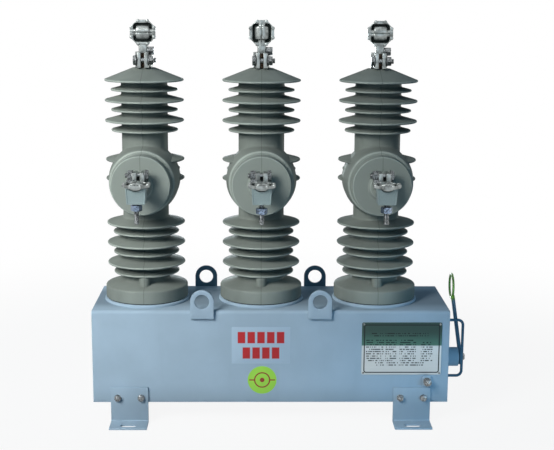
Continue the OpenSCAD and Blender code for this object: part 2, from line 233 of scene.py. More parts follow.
def star(outline, angles):
    """Outline resampled by direction: along each ray from the origin, its nearest crossing with an edge."""
    edge = np.roll(outline, -1, 0) - outline
    ray = circle(angles)

    def cross(p, q):
        return p[..., 0] * q[..., 1] - p[..., 1] * q[..., 0]

    with np.errstate(divide="ignore", invalid="ignore"):
        spread = cross(ray[:, None], edge[None])
        along = cross(outline[None], edge[None]) / spread
        share = cross(outline[None], ray[:, None]) / spread
    meets = (share > -1e-9) & (share < 1 + 1e-9) & (along > 0)
    return ray * np.where(meets, along, np.inf).min(1)[:, None]


def directions(outline, around):
    """Equal steps of angle, with those of the outline's own points added, so that no corner is cut."""
    own = np.arctan2(outline[:, 1], outline[:, 0])
    turn = np.unique(np.round(np.concatenate([own, turns(around)]) % FULL_TURN, 4))
    return turn[turn < FULL_TURN - 1e-3]


def refined(points, step):
    """The same profile with points added evenly, so that neighbours are never further apart than a step."""
    run = np.diff(points, axis=0)
    parts = np.maximum(np.ceil(np.linalg.norm(run, axis=1) / step).astype(int), 1)
    first = np.repeat(np.arange(len(run)), parts)
    share = (np.arange(len(first)) - np.repeat(np.cumsum(parts) - parts, parts)) / parts[first]
    return np.vstack([points[first] + share[:, None] * run[first], points[-1:]])


def lathe(points, around=96):
    """Solid of revolution about z: each profile point (radius, height) becomes a ring."""
    return turned(points[:, :1], turns(around)[None], points[:, 1:])


def tube(path, radius, plane, around=20):
    """Round rod along a path that lies in one plane, whose normal is given."""
    path = np.asarray(path, float)
    across = np.cross(unit(np.gradient(path, axis=0)), plane)
    turn = turns(around)[None, :, None]
    rings = np.cos(turn) * across[:, None] + np.sin(turn) * np.asarray(plane)
    return Loft(path[:, None] + radius * rings)


def torus(mean, radius, around=64, section=20):
    """Ring about z: a circle of the rod's radius carried round the mean circle."""
    angle = turns(section)[:, None]
    return turned(mean + radius * np.cos(angle), turns(around)[None], radius * np.sin(angle), True)


def thread(radius, start, end, pitch=1.8 * MM, depth=0.9 * MM, around=24):
    """Screw thread: the radius falls and rises with height / pitch + angle / full turn."""
    rows = max(int(6 * (end - start) / pitch), 8)
    height = np.linspace(start, end, rows)[:, None]
    turn = turns(around)[None]
    phase = (height / pitch + turn / FULL_TURN) % 1
    reach = radius - depth * np.abs(2 * phase - 1)
    reach[[0, -1]] = radius - 1.6 * depth
    return turned(reach, turn, height)


def hexagon(width, start, end, around=72):
    """Bolt head or nut: radius is half the width over the cosine of the angle from the nearest
    flat, and a cone of 30 degrees cuts both rims back to a circle."""
    turn = turns(around)
    off_flat = turn % (math.pi / 3) - math.pi / 6
    reach = width / 2 / np.cos(off_flat)
    face = 0.475 * width
    cut = (reach - face) * math.tan(math.pi / 6)
    spin = circle(turn)
    rings = [
        at_height(face * spin, start),
        at_height(reach[:, None] * spin, start + cut),
        at_height(reach[:, None] * spin, end - cut),
        at_height(face * spin, end),
    ]
    return Loft(rings)


def washer(outer, inner, start, end, bevel=0.3 * MM):
    """Flat ring with softened rims."""
    return pierced(disc(outer), disc(inner), start, end, bevel)


class Loft:
    """Rings of points joined by quads, as a tube with flat ends or closed on itself."""

    def __init__(self, rings, closed=False):
        self.rings = np.asarray(rings, float)
        self.closed = closed

    def placed(self, origin, x=X, y=Y, z=Z):
        """The same surface in another frame: p becomes origin + px x + py y + pz z."""
        axes = np.array([x, y, z], float)
        return Loft(self.rings @ axes + np.asarray(origin, float), self.closed)

    def mesh(self, first):
        """Points and faces, numbered from first."""
        rows, columns = self.rings.shape[:2]
        index = first + np.arange(rows * columns).reshape(rows, columns)
        ends = [] if self.closed else [index[0][::-1].tolist(), index[-1].tolist()]
        near = index if self.closed else index[:-1]
        far = np.roll(index, -1, 0) if self.closed else index[1:]
        quads = np.stack([near, np.roll(near, -1, 1), np.roll(far, -1, 1), far], 2)
        return self.rings.reshape(-1, 3), quads.reshape(-1, 4).tolist() + ends


def build(name, lofts, smooth=38):
    """One mesh object from several lofts, with normals outwards and edges sharp past an angle."""
    points, faces, count = [], [], 0
    for loft in lofts:
        own, polygons = loft.mesh(count)
        points.append(own)
        faces += polygons
        count += len(own)
    mesh = bpy.data.meshes.new(name)
    mesh.from_pydata(np.concatenate(points).tolist(), [], faces)
    tidy(mesh, smooth)
    made = bpy.data.objects.new(name, mesh)
    bpy.context.scene.collection.objects.link(made)
    return made


def tidy(mesh, smooth):
    """Turns the faces outwards and shades them smooth up to an angle in degrees."""
    work = bmesh.new()
    work.from_mesh(mesh)
    bmesh.ops.remove_doubles(work, verts=work.verts, dist=1e-7)
    bmesh.ops.recalc_face_normals(work, faces=work.faces)
    work.to_mesh(mesh)
    work.free()
    mesh.polygons.foreach_set("use_smooth", np.ones(len(mesh.polygons), bool))
    mesh.set_sharp_from_angle(angle=math.radians(smooth))


def combine(made, others, operation, smooth=38):
    """Joins other closed pieces to one, or cuts them out of it, and removes them."""
    for other in others:
        step = made.modifiers.new(operation.lower(), "BOOLEAN")
        step.operation = operation
        step.solver = "MANIFOLD"
        step.object = other
    view = bpy.context.evaluated_depsgraph_get()
    result = bpy.data.meshes.new_from_object(made.evaluated_get(view))
    made.modifiers.clear()
    old = made.data
    made.data = result
    bpy.data.meshes.remove(old)
    result.name = made.name
    for other in others:
        bpy.data.objects.remove(other)
    tidy(result, smooth)
    return made


def dress(made, material, nodes=(), body=FIXED):
    """Gives a piece its finish and its body, and hides the nodes that it stands for."""
    made.data.materials.clear()
    made.data.materials.append(material)
    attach(made, body)
    if nodes:
        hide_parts(*nodes)
    return made


def finish_node(node, material):
    """Gives a node that stays as it is a better finish."""
    shown = frame["nodes"][node]
    shown.data.materials.clear()
    shown.data.materials.append(material)


# Shader maths

def math_step(operation, reflected=False):
    """Method that adds one Math node, with its own socket first, or last if reflected."""
    def step(self, *others):
        values = (*others, self) if reflected else (self, *others)
        return self.sheet.node("ShaderNodeMath", {"operation": operation}, dict(enumerate(values)))
    return step


class Value:
    """A shader socket on which Python's operators add Math nodes.

    Of two masks, the smaller is where both hold and the larger is where either does.
    """

    __add__, __radd__ = math_step("ADD"), math_step("ADD", True)
    __sub__, __rsub__ = math_step("SUBTRACT"), math_step("SUBTRACT", True)
    __mul__, __rmul__ = math_step("MULTIPLY"), math_step("MULTIPLY", True)
    __truediv__, __mod__ = math_step("DIVIDE"), math_step("FLOORED_MODULO")
    __abs__, floor, root = math_step("ABSOLUTE"), math_step("FLOOR"), math_step("SQRT")
    both, either = math_step("MINIMUM"), math_step("MAXIMUM")

    def __init__(self, sheet, socket):
        self.sheet = sheet
        self.socket = socket

    def ramp(self, start, end):
        """Smooth step from 0 at start to 1 at end."""
        return self.sheet.node(
            "ShaderNodeMapRange",
            {"interpolation_type": "SMOOTHSTEP"},
            {"Value": self, "From Min": start, "From Max": end},
        )

    def within(self, half, soft):
        """Mask that is 1 where the value lies nearer to 0 than half, with a soft edge."""
        return 1 - abs(self).ramp(half - soft, half + soft)


class Sheet:
    """A material or a world and the nodes that make it."""

    def __init__(self, name, library="materials"):
        self.owner = getattr(bpy.data, library).new(name)
        self.owner.use_nodes = True
        self.tree = self.owner.node_tree
        self.tree.nodes.clear()
        self.place = self.node("ShaderNodeTexCoord", outlet="Object")
        apart = self.node("ShaderNodeSeparateXYZ", {}, {"Vector": self.place}, None)
        self.x, self.y, self.z = (Value(self, out) for out in apart.outputs)

    def node(self, kind, settings=None, sockets=None, outlet=0):
        """Adds a node: settings first, then values or links on its sockets."""
        made = self.tree.nodes.new(kind)
        for key, value in (settings or {}).items():
            setattr(made, key, value)
        for key, value in (sockets or {}).items():
            if isinstance(value, Value):
                self.tree.links.new(value.socket, made.inputs[key])
            else:
                made.inputs[key].default_value = value
        return made if outlet is None else Value(self, made.outputs[outlet])

    def away(self, **place):
        """Distance from a place, counted along the named axes only."""
        off = [getattr(self, axis) - float(spot) for axis, spot in place.items()]
        total = off[0] * off[0]
        for more in off[1:]:
            total = total + more * more
        return total.root()

    def noise(self, scale, detail=3.0, rough=0.55, stretch=(1, 1, 1)):
        """Soft noise over the object's own coordinates."""
        where = self.node("ShaderNodeMapping", {}, {"Vector": self.place, "Scale": stretch})
        sockets = {"Vector": where, "Scale": scale, "Detail": detail, "Roughness": rough}
        return self.node("ShaderNodeTexNoise", {}, sockets)

    def mix(self, share, first, second):
        """Blend of two colours."""
        return self.node("ShaderNodeMix", {"data_type": "RGBA"}, {0: share, 6: first, 7: second}, 2)

    def bump(self, height, distance, strength):
        """Normal that follows a height in metres times distance."""
        sockets = {"Height": height, "Distance": distance, "Strength": strength}
        return self.node("ShaderNodeBump", {}, sockets)

    def surface(self, **sockets):
        """Finishes the material with one Principled surface."""
        named = {key.replace("_", " ").title(): value for key, value in sockets.items()}
        named = {key.replace("Ior", "IOR"): value for key, value in named.items()}
        shader = self.node("ShaderNodeBsdfPrincipled", {}, named)
        self.node("ShaderNodeOutputMaterial", {}, {"Surface": shader}, None)
        return self.owner

    def seen(self):
        """Mask that is 1 for rays from the camera, off a shiny surface or through a clear one."""
        ray = self.node("ShaderNodeLightPath", outlet=None)
        names = ("Is Camera Ray", "Is Glossy Ray", "Is Transmission Ray")
        camera, glossy, through = (Value(self, ray.outputs[name]) for name in names)
        return camera.either(glossy).either(through)


def shade(colour, factor):
    """A colour made darker or lighter, with full alpha."""
    return tuple(min(c * factor, 1.0) for c in colour[:3]) + (1.0,)


# Sizes and colours that a user would change

def length(name, description, default):
    """Property for a length in metres."""
    return FloatProperty(name=name, description=description, default=default, unit="LENGTH", precision=4)


def colour(name, description, default):
    """Property for a linear colour."""
    return FloatVectorProperty(name=name, description=description, default=default, subtype="COLOR", size=3)


class RecloserSizes(PropertyGroup):
    """Sizes of what is added to the frame."""

    edge: length("Edge", "Softening of the tank's sheet edges", 2.2 * MM)
    fold: length("Fold", "Radius of the tank's folded top edges", 9 * MM)
    foot_bolt: length("Foot bolt", "Width of a foot bolt's head across its flats", 15 * MM)
    foot_bolt_gap: length("Foot bolt spacing", "Distance between the bolts of one foot", 60 * MM)
    foot_bolt_drop: length("Foot bolt drop", "Drop of the foot bolts below the bracket's top", 27 * MM)
    label_width: length("Label width", "Width of the plain rating label", 150 * MM)
    label_height: length("Label height", "Height of the plain rating label", 97 * MM)
    sticker: length("Sticker", "Diameter of the round sticker", 74 * MM)


class RecloserColours(PropertyGroup):
    """Linear colours of the finishes."""

    paint: colour("Tank paint", "Blue-grey enamel of the tank", (0.347, 0.460, 0.556))
    epoxy: colour("Epoxy", "Grey-green cast resin of the poles", (0.207, 0.235, 0.213))
    casting: colour("Casting", "Tinned metal of the terminals", (0.27, 0.295, 0.29))
    fastener: colour("Fastener", "Plated steel of bolts and nuts", (0.21, 0.225, 0.23))
    blue_zinc: colour("Blue zinc", "Plating of the clamping screws' nuts", (0.19, 0.25, 0.34))
    copper: colour("Copper", "Tarnished copper of the studs", (0.10, 0.065, 0.045))
    # Near-black colour of the painted shade in the jaws' recesses
    tarnish: colour("Tarnish", "Dark oxide in the jaws' recesses", (0.010, 0.014, 0.013))
    frost: colour("Frost", "Blasted metal of the keepers", (0.245, 0.315, 0.320))
    rubber: colour("Rubber", "Gasket rubber", (0.02, 0.022, 0.025))
    coat: colour("Ring coat", "Green coat of the lever's ring", (0.17, 0.37, 0.07))
    lever: colour("Lever paint", "Darker enamel of the lever and its guard", (0.13, 0.23, 0.31))
    plate: colour("Plate", "Bare metal of the rating plate", (0.50, 0.56, 0.58))
    # Green of the painted reflection on the rating plate's upper part
    plate_band: colour("Plate band", "Green field of the rating plate", (0.018, 0.050, 0.036))
    ink: colour("Ink", "Dark print of the rating plate", (0.02, 0.025, 0.025))
    label: colour("Label", "Ground of the plain rating label", (0.362, 0.486, 0.594))
    label_bar: colour("Label bars", "Red of the label's bars", (0.42, 0.012, 0.015))
    sticker: colour("Sticker", "Yellow-green of the round sticker", (0.30, 0.62, 0.06))
    sticker_mark: colour("Sticker mark", "Dark red of the sticker's ring", (0.24, 0.02, 0.015))


def sizes():
    """The scene's sizes."""
    return bpy.context.scene.recloser_sizes


def colours():
    """The scene's colours."""
    return bpy.context.scene.recloser_colours


# Finishes

# Metallic shares that stand for the gloss of the paint and of the epoxy
PAINT_SHEEN, EPOXY_SHEEN = 0.02, 0.05


def enamel(name, tint, dip=None):
    """Satin enamel on sheet steel: faint cloudiness, faint runs and a fine orange-peel skin.

    Painted shade darkens the paint low down, just above the ground, as on the feet, and a painted shadow darkens
    the middle of the tank's roof. A dip is a coat of another colour that covers all within a reach of the lever's
    ring.
    """
    sheet = Sheet(name)
    cloud = sheet.noise(5.0, 4.0)
    peel = sheet.noise(420.0, 2.0)
    runs = sheet.noise(26.0, 3.0, 0.5, (1.0, 1.0, 0.12))
    base = sheet.mix(cloud.ramp(0.3, 0.7), shade(tint, 0.93), shade(tint, 1.06))
    base = sheet.mix(runs.ramp(0.52, 0.75) * 0.25, base, shade(tint, 0.86))
    # Painted shade: the paint is darker low down, just above the ground.
    low_shade = sheet.z.ramp(5.5 * MM, 9 * MM) * (1 - sheet.z.ramp(40 * MM, 110 * MM))
    base = sheet.mix(low_shade * 0.6, base, shade(tint, 0.62))
    # Painted shadow: the middle of the tank's roof is darkened.
    roof = float(TANK_ROOF)
    level = sheet.z.ramp(roof - MM, roof) * (1 - sheet.z.ramp(roof + MM, roof + 2 * MM))
    roof_shadow = level * (1 - abs(sheet.y).ramp(50 * MM, 120 * MM))
    base = sheet.mix(roof_shadow * 0.75, base, shade(tint, 0.5))
    if dip:
        reach = sheet.away(x=RING[0], y=RING[1], z=RING[2]) + 20 * MM * (cloud - 0.5)
        base = sheet.mix(reach.ramp(46 * MM, 56 * MM), shade(dip, 1.0), base)
    return sheet.surface(
        base_color=base, roughness=0.52 + 0.12 * cloud + 0.05 * peel,
        metallic=PAINT_SHEEN, specular_ior_level=0.0, normal=sheet.bump(peel, 0.12 * MM, 0.5),
    )


@cache
def tank_paint():
    """Paint of the tank, feet and lugs."""
    return enamel("tank_paint", colours().paint)


@cache
def lever_paint():
    """Darker paint of the lever and its guard, with the ring's coat run over the lever's tip."""
    return enamel("lever_paint", colours().lever, colours().coat)


# Radius, half-width and reach of the painted highlights on the rims of the boss's shoulder, front disc and hub, in
# millimetres
BOSS_RIMS = ((80.4, 2.2, 105), (73, 1.3, 148), (31, 1.2, 156))


def rim_highlights(sheet, pole):
    """Mask of the painted highlights on the sheds' rims above and below the boss, and on the boss's own three
    rims.

    A point is on a large rim past a distance from the pole's axis. It is on a small one past a shorter
    distance where its height, counted in the sheds' pitch, is near that of a small shed's tip. The boss's
    rims lie near a distance from its own axis, past a reach in front of the pole's.
    """
    axis = pole_axis(pole)
    rise = sheet.z - float(BOSS_Z)
    flange_top = POLE_LOW[2] + 50 * MM
    clear = abs(rise).ramp(100 * MM, 104 * MM).both(sheet.z.ramp(flange_top - 2 * MM, flange_top + 2 * MM))
    near = []
    for first, pitch in ((LOWER_SHED, LOWER_PITCH), (UPPER_SHED, UPPER_PITCH)):
        phase = (sheet.z - float(first - SHED_DROP - pitch / 2)) % pitch - pitch / 2
        near.append(phase.within(2.2 * MM, 0.5 * MM))
    tips = near[0].both((0 - rise).ramp(0.0, MM)).either(near[1].both(rise.ramp(0.0, MM)))
    out = sheet.away(x=axis, y=0)
    large, small = (out.ramp(tip - 2.6 * MM, tip - 1.4 * MM) for tip in (BIG_SHED, SMALL_SHED))
    highlight = large.either(small.both(tips)).both(clear)
    beside, depth = sheet.away(x=axis, z=BOSS_Z), 0 - sheet.y
    for radius, half, reach in BOSS_RIMS:
        ring = (beside - radius * MM).within(half * MM, 0.5 * MM)
        highlight = highlight.either(ring.both(depth.ramp((reach - 1) * MM, (reach + 1) * MM)))
    return highlight


@cache
def cast_epoxy(pole):
    """Cast resin with a faint mottle, dusty streaks that run down, boss faces made paler as painted light, painted
    highlights on the rims and the mould's parting line."""
    tint = colours().epoxy
    sheet = Sheet(f"cast_epoxy_{pole}")
    mottle = sheet.noise(14.0, 5.0)
    streak = sheet.noise(60.0, 2.0, 0.5, (1.0, 1.0, 0.08))
    skin = sheet.noise(260.0, 2.0)
    seam = (sheet.x - pole_axis(pole)).within(0.8 * MM, 0.4 * MM)
    # Painted light: the front faces of the boss are made paler, as if lit more strongly.
    face = (0 - sheet.y).ramp(85 * MM, 120 * MM)
    base = sheet.mix(mottle.ramp(0.3, 0.7), shade(tint, 0.92), shade(tint, 1.09))
    base = sheet.mix(streak.ramp(0.6, 0.85) * 0.22, base, shade(tint, 1.45))
    base = sheet.mix(face * 0.7, base, shade(tint, 1.42))
    # Painted highlights along the rims of the sheds and of the boss.
    base = sheet.mix(rim_highlights(sheet, pole) * (0.35 + 0.6 * mottle), base, shade(tint, 1.9))
    base = sheet.mix(seam * 0.5, base, shade(tint, 0.45))
    return sheet.surface(
        base_color=base, roughness=0.30 + 0.10 * mottle + 0.06 * streak,
        metallic=EPOXY_SHEEN, specular_ior_level=0.0,
        normal=sheet.bump(seam + 0.10 * skin, 0.35 * MM, 0.6),
    )


@cache
def tinned_casting():
    """Tinned casting: grainy skin, rubbed brighter in patches and dull between."""
    tint = colours().casting
    sheet = Sheet("tinned_casting")
    grain = sheet.noise(520.0, 3.0)
    patch = sheet.noise(70.0, 3.0)
    dull = patch.ramp(0.35, 0.7)
    base = sheet.mix(dull, shade(tint, 1.35), shade(tint, 0.62))
    return sheet.surface(
        base_color=base, metallic=1.0, roughness=0.26 + 0.20 * dull + 0.08 * grain,
        normal=sheet.bump(grain, 0.25 * MM, 0.55),
    )


# Of each finish: its colour, the noise of its tone, stops and shades, roughness, noise of its skin and bump
PLATING = {"tone": (300.0, 3.0), "stops": (0.4, 0.6), "shades": (1.5, 0.45), "metallic": 1.0,
           "skin": (1400.0, 2.0), "lift": (0.06 * MM, 0.4)}
GRAINS = {
    # Zinc-plated steel with fine scuffs
    "bright_fastener": {"tint": "fastener", "rough": (0.22, 0.2), **PLATING},
    # Zinc plating with a blue tint, on the clamping screws' nuts
    "blue_zinc": {"tint": "blue_zinc", "rough": (0.18, 0.2), **PLATING},
    # Tarnished copper of the studs inside the clamps
    "copper_stud": {"tint": "copper", "rough": (0.38, 0.2), **PLATING},
    # Painted shade: a near-black finish in the recesses of the jaws
    "tarnished_metal": {"tint": "tarnish", "tone": (500.0, 3.0), "stops": (0.35, 0.7), "shades": (0.6, 1.8),
                        "rough": (0.7, 0.2), "lift": (0.2 * MM, 0.5), "specular_ior_level": 0.1},
    # Sand-blasted metal of the keepers
    "frosted_metal": {"tint": "frost", "tone": (900.0, 4.0, 0.7), "stops": (0.3, 0.7),
                      "shades": (0.85, 1.15), "rough": (0.5, 0.15), "lift": (0.25 * MM, 0.6),
                      "metallic": 0.35, "specular_ior_level": 0.3},
    # Matt black rubber
    "gasket_rubber": {"tint": "rubber", "tone": (200.0, 3.0), "stops": (0.4, 0.8), "shades": (1.0, 2.0),
                      "rough": (0.75, 0.2)},
    # Thick dipped coat with a soft wavy skin
    "green_coat": {"tint": "coat", "tone": (90.0, 3.0), "stops": (0.35, 0.65), "shades": (0.8, 1.3),
                   "rough": (0.34, 0.15), "lift": (0.5 * MM, 0.5)},
}


@cache
def grained(name):
    """Finish of one noise. Its smooth step between two stops blends two shades of a colour, its value adds
    to the roughness, and it or the skin's own noise is lifted as a bump."""
    return grain_finish(name, **GRAINS[name])


def grain_finish(name, tint, tone, stops, shades, rough, skin=None, lift=None, **fixed):
    """Makes a grained finish from its values. The fixed ones go on the shader's own sockets."""
    sheet = Sheet(name)
    grain = sheet.noise(*tone)
    first, second = (shade(getattr(colours(), tint), factor) for factor in shades)
    base = sheet.mix(grain.ramp(*stops), first, second)
    if lift:
        fixed["normal"] = sheet.bump(sheet.noise(*skin) if skin else grain, *lift)
    return sheet.surface(base_color=base, roughness=rough[0] + rough[1] * grain, **fixed)


# Left and right side in millimetres, first and last row
PLATE_BLOCKS = (
    (25, 170, 0, 1), (11, 57, 3, 12), (61, 89, 3, 12), (97, 139, 3, 12), (152, 182, 4, 12),
    (35, 160, 13, 14),
)


@cache
def plate_print():
    """Brushed plate with a painted reflection that turns its upper part dark green, darker towards the top, a dark
    round-cornered border and rows of plain dashes.

    With how far a point lies past the corner circles' centres in x and in z, the root of the sum of the
    squares less the circles' radius is the distance from the plate's edge. Dashes are cells of a grid,
    inked by white noise, in blocks given in millimetres from the left edge and in rows from the first.
    """
    tints = colours()
    centre = middle("rating_plate")
    half_x, _, half_z = (high("rating_plate") - centre).tolist()
    sheet = Sheet("plate_print")
    x = sheet.x - float(centre[0])
    z = sheet.z - float(centre[2])
    brush = sheet.noise(90.0, 3.0, 0.6, (0.06, 1.0, 9.0))
    corner, line_in, half_line = 12 * MM, 6.5 * MM, 1.4 * MM
    over_x = (abs(x) - (half_x - corner)).either(0.0)
    over_z = (abs(z) - (half_z - corner)).either(0.0)
    edge = (over_x * over_x + over_z * over_z).root() - corner
    border = (edge + line_in).within(half_line, 0.4 * MM)
    # Painted reflection: the plate's upper part turns dark green, darker towards its top.
    split = 0.12 * half_z
    reflection_mask = z.ramp(split - 1.5 * MM, split + 1.5 * MM)
    light, dark = shade(tints.plate_band, 3.2), shade(tints.plate_band, 1.0)
    painted_reflection = sheet.mix(z.ramp(split, 0.7 * half_z), light, dark)
    pitch, cell, first_row = 6 * MM, 2.4 * MM, 29 * MM
    down = (half_z - first_row + pitch / 2 - z) / pitch
    across = (x + half_x) / cell
    spot = sheet.node("ShaderNodeCombineXYZ", {}, {0: across.floor(), 1: down.floor()})
    inked = sheet.node("ShaderNodeTexWhiteNoise", {"noise_dimensions": "2D"}, {"Vector": spot}, "Value")
    stripe = (down % 1.0 - 0.5).within(0.24, 0.06)
    blocks = 0.0
    for left, right, first, last in PLATE_BLOCKS:
        wide = (x + half_x - (left + right) / 2 * MM).within((right - left) / 2 * MM, 0.3 * MM)
        tall = (down - (first + last + 1) / 2).within((last - first + 1) / 2, 0.02)
        blocks = wide.both(tall).either(blocks)
    dashes = inked.ramp(0.3, 0.5).both(stripe).both(blocks)
    metal = sheet.mix(brush, shade(tints.plate, 0.86), shade(tints.plate, 1.12))
    base = sheet.mix(reflection_mask * 0.95, metal, painted_reflection)
    base = sheet.mix((dashes * 0.92).either(border), base, shade(tints.ink, 1.0))
    ink = border.either(reflection_mask * 0.9).either(dashes * 0.7)
    return sheet.surface(
        base_color=base, metallic=0.75 * (1 - ink), roughness=0.34 + 0.14 * brush,
        specular_ior_level=0.15, normal=sheet.bump(brush, 0.05 * MM, 0.4),
    )


@cache
def label_print(centre_x, centre_z):
    """Plain vinyl label: a pale ground with two rows of red bars in place of words."""
    tints = colours()
    sheet = Sheet("label_print")
    x = sheet.x - centre_x
    z = sheet.z - centre_z
    pale = sheet.noise(12.0, 3.0)
    soft = 0.4 * MM
    pitch, half_bar, half_row, row_off = 25 * MM, 9.5 * MM, 15 * MM, 20.5 * MM
    ink = 0.0
    for off, half_count in ((row_off, 2.5), (-row_off, 2)):
        row = (z - off).within(half_row, soft).both(x.within(half_count * pitch, soft))
        bars = ((x + half_count * pitch) % pitch - pitch / 2).within(half_bar, soft)
        ink = row.both(bars).either(ink)
    ground = sheet.mix(pale, shade(tints.label, 0.95), shade(tints.label, 1.05))
    base = sheet.mix(ink, ground, shade(tints.label_bar, 1.0))
    return sheet.surface(base_color=base, roughness=0.40 + 0.08 * pale)


@cache
def sticker_print(centre_x, centre_z, radius):
    """Round vinyl sticker: a green ground with a plain dark red ring and a bar across it."""
    tints = colours()
    sheet = Sheet("sticker_print")
    x = sheet.x - centre_x
    z = sheet.z - centre_z
    reach = sheet.away(x=centre_x, z=centre_z)
    pale = sheet.noise(30.0, 3.0)
    ring = (reach - 0.52 * radius).within(0.045 * radius, 0.2 * MM)
    spot = reach.within(0.16 * radius, 0.2 * MM)
    sides = (abs(x) - 0.70 * radius).within(0.2 * radius, 0.3 * MM)
    across = z.within(0.045 * radius, 0.2 * MM).both(sides)
    mark = ring.either(spot).either(across)
    ground = sheet.mix(pale, shade(tints.sticker, 0.93), shade(tints.sticker, 1.06))
    base = sheet.mix(mark, ground, shade(tints.sticker_mark, 1.0))
    return sheet.surface(base_color=base, roughness=0.36 + 0.08 * pale)


# Shapes of the object's own pieces

def wall_frame(x, y, z, facing):
    """Frame on a front or rear wall: its z axis points out of the wall."""
    return {"origin": (x, y, z), "x": -facing * X, "y": Z, "z": facing * Y}


def bolt_on(spot, width, head, washer_radius, stub=0.0):
    """Hex bolt with a flat washer, on a frame whose z axis points out of the surface."""
    thick = 1.8 * MM
    parts = [washer(washer_radius, 0.3 * width, 0, thick), hexagon(width, thick, thick + head)]
    if stub:
        parts.append(thread(0.3 * width, thick + head, thick + head + stub))
    return [part.placed(**spot) for part in parts]


def tank_shapes():
    """The tank: its section with round upper corners, carried from end to end."""
    soft = sizes().edge
    fold = sizes().fold
    y0, y1 = TANK_LOW[1], TANK_HIGH[1]
    z0 = COVER_HIGH[2]
    z1 = TANK_ROOF
    section = rounded([(y0, z0), (y1, z0), (y1, z1), (y0, z1)], (0.5 * soft, 0.5 * soft, fold, fold), 9)
    shell = bar(section, TANK_LOW[0], TANK_HIGH[0], soft).placed((0, 0, 0), Y, Z, X)
    seat_rim = 4.2 * MM
    radius = (POLE_HIGH[0] - POLE_LOW[0]) / 2 + seat_rim
    top = TANK_HIGH[2]
    seat = profile([(MM, z1), (radius, z1), (radius - MM, top), (MM, top)], mm((0, 0.5, 3, 0)))
    return [shell] + [lathe(seat).placed((pole_axis(pole), 0, 0)) for pole in POLES]


def foot_shape(node, facing):
    """Bracket: a strip that runs down the wall, round a bend and out along the ground."""
    lowest, highest = ends(node)
    thick = 5 * MM
    wall = highest[1] if facing < 0 else lowest[1]
    reach = highest[1] - lowest[1]
    corners = [(0, 0), (reach, 0), (reach, thick), (thick, thick), (thick, highest[2]), (0, highest[2])]
    section = rounded(corners, mm((6, 0.8, 0.8, 3, 0.8, 0.8)), 6)
    outward = np.array([0, facing, 0])
    strip = bar(section, lowest[0], highest[0], 0.7 * MM)
    return strip.placed((0, wall, 0), outward, Z, X)


def slot_cutter(node, facing):
    """Slot in a bracket's ground flange."""
    x = middle(node)[0]
    dims = frame["record"]["mounts"][0]["dims"]
    y = facing * dims["spacing_y_mm"] * MM / 2
    width = 2 * dims["hole_r_mm"] * MM
    outline = rectangle(dims["slot_length_mm"] * MM, width, 0.4999 * width, steps=14)
    return bar(outline, -10 * MM, 20 * MM).placed((x, y, 0))


def lug_shape(name, node):
    """Lifting lug: a round-topped plate, pierced by its hole."""
    lowest, highest = ends(node)
    hole = mount_place(name)
    half = (highest[0] - lowest[0]) / 2
    down = hole[2] - lowest[2]
    arch = half * circle(np.linspace(0, math.pi, 40))
    base = rounded([(half, 0), (-half, 0), (-half, -down), (half, -down)], mm((0, 0, 2, 2)))
    outer = np.concatenate([arch, base[base[:, 1] < -1e-6]])
    angles = directions(outer, 96)
    hole_radius = 18.5 * MM
    inner = star(disc(hole_radius, 96), angles)
    plate = pierced(star(outer, angles), inner, lowest[1], highest[1], 0.9 * MM)
    return plate.placed((hole[0], 0, hole[2]), X, Z, Y)


def shed(tip, radius):
    """Corners of one shed from its underside's root over the tip to its upper root."""
    thick = 2.25 * MM
    run = radius - thick - CORE
    under = math.tan(math.radians(4)) * run
    upper = math.tan(math.radians(16)) * run
    return [
        (CORE, tip - thick + under),
        (radius, tip - thick),
        (radius, tip + thick),
        (CORE, tip + thick + upper),
    ]


def pole_profile():
    """Half-section of a pole's upright: flange, sheds from the lowest up, and the sloped cap."""
    base, top = POLE_LOW[2], POLE_HIGH[2]
    flange = (POLE_HIGH[0] - POLE_LOW[0]) / 2
    lower = [LOWER_SHED - k * LOWER_PITCH for k in range(3)]
    mid = [BOSS_Z + 48 * MM - k * 49 * MM for k in range(2)]
    upper = [UPPER_SHED - k * UPPER_PITCH for k in range(3)]
    tips = [(z, BIG_SHED) for z in lower + mid + upper]
    tips += [(z - SHED_DROP, SMALL_SHED) for z in lower + upper] + [(mid[0] - SHED_DROP, MID_SHED)]
    shed_radii = [4 * MM, 2.1 * MM, 2.1 * MM, 5 * MM]
    corners = [(1 * MM, base), (flange, base), (flange, base + 33 * MM), (CORE, base + 47 * MM)]
    radii = [0, 1.5 * MM, 5 * MM, 7 * MM]
    for tip, radius in sorted(tips)[:-1]:
        corners += shed(tip, radius)
        radii += shed_radii
    corners += shed(UPPER_SHED, BIG_SHED)[:3] + [(29 * MM, top), (1 * MM, top)]
    radii += shed_radii[:3] + [1.5 * MM, 0]
    return profile(corners, radii, 6)


def boss_profile():
    """Half-section of a boss: a domed back, a body, a round shoulder, a front disc and a low hub."""
    hub = 8
    reach = -POLE_LOW[1] / MM
    face = reach - hub
    corners = [
        (1, -58), (59, -47), (79, -30), (90, -8), (90, 46), (82, 108), (74, 108), (74, face), (36, face),
        (30, reach), (1, reach),
    ]
    return profile(mm(corners), mm((0, 20, 20, 16, 30, 5, 2, 2.2, 3, 2.5, 0)), 7)


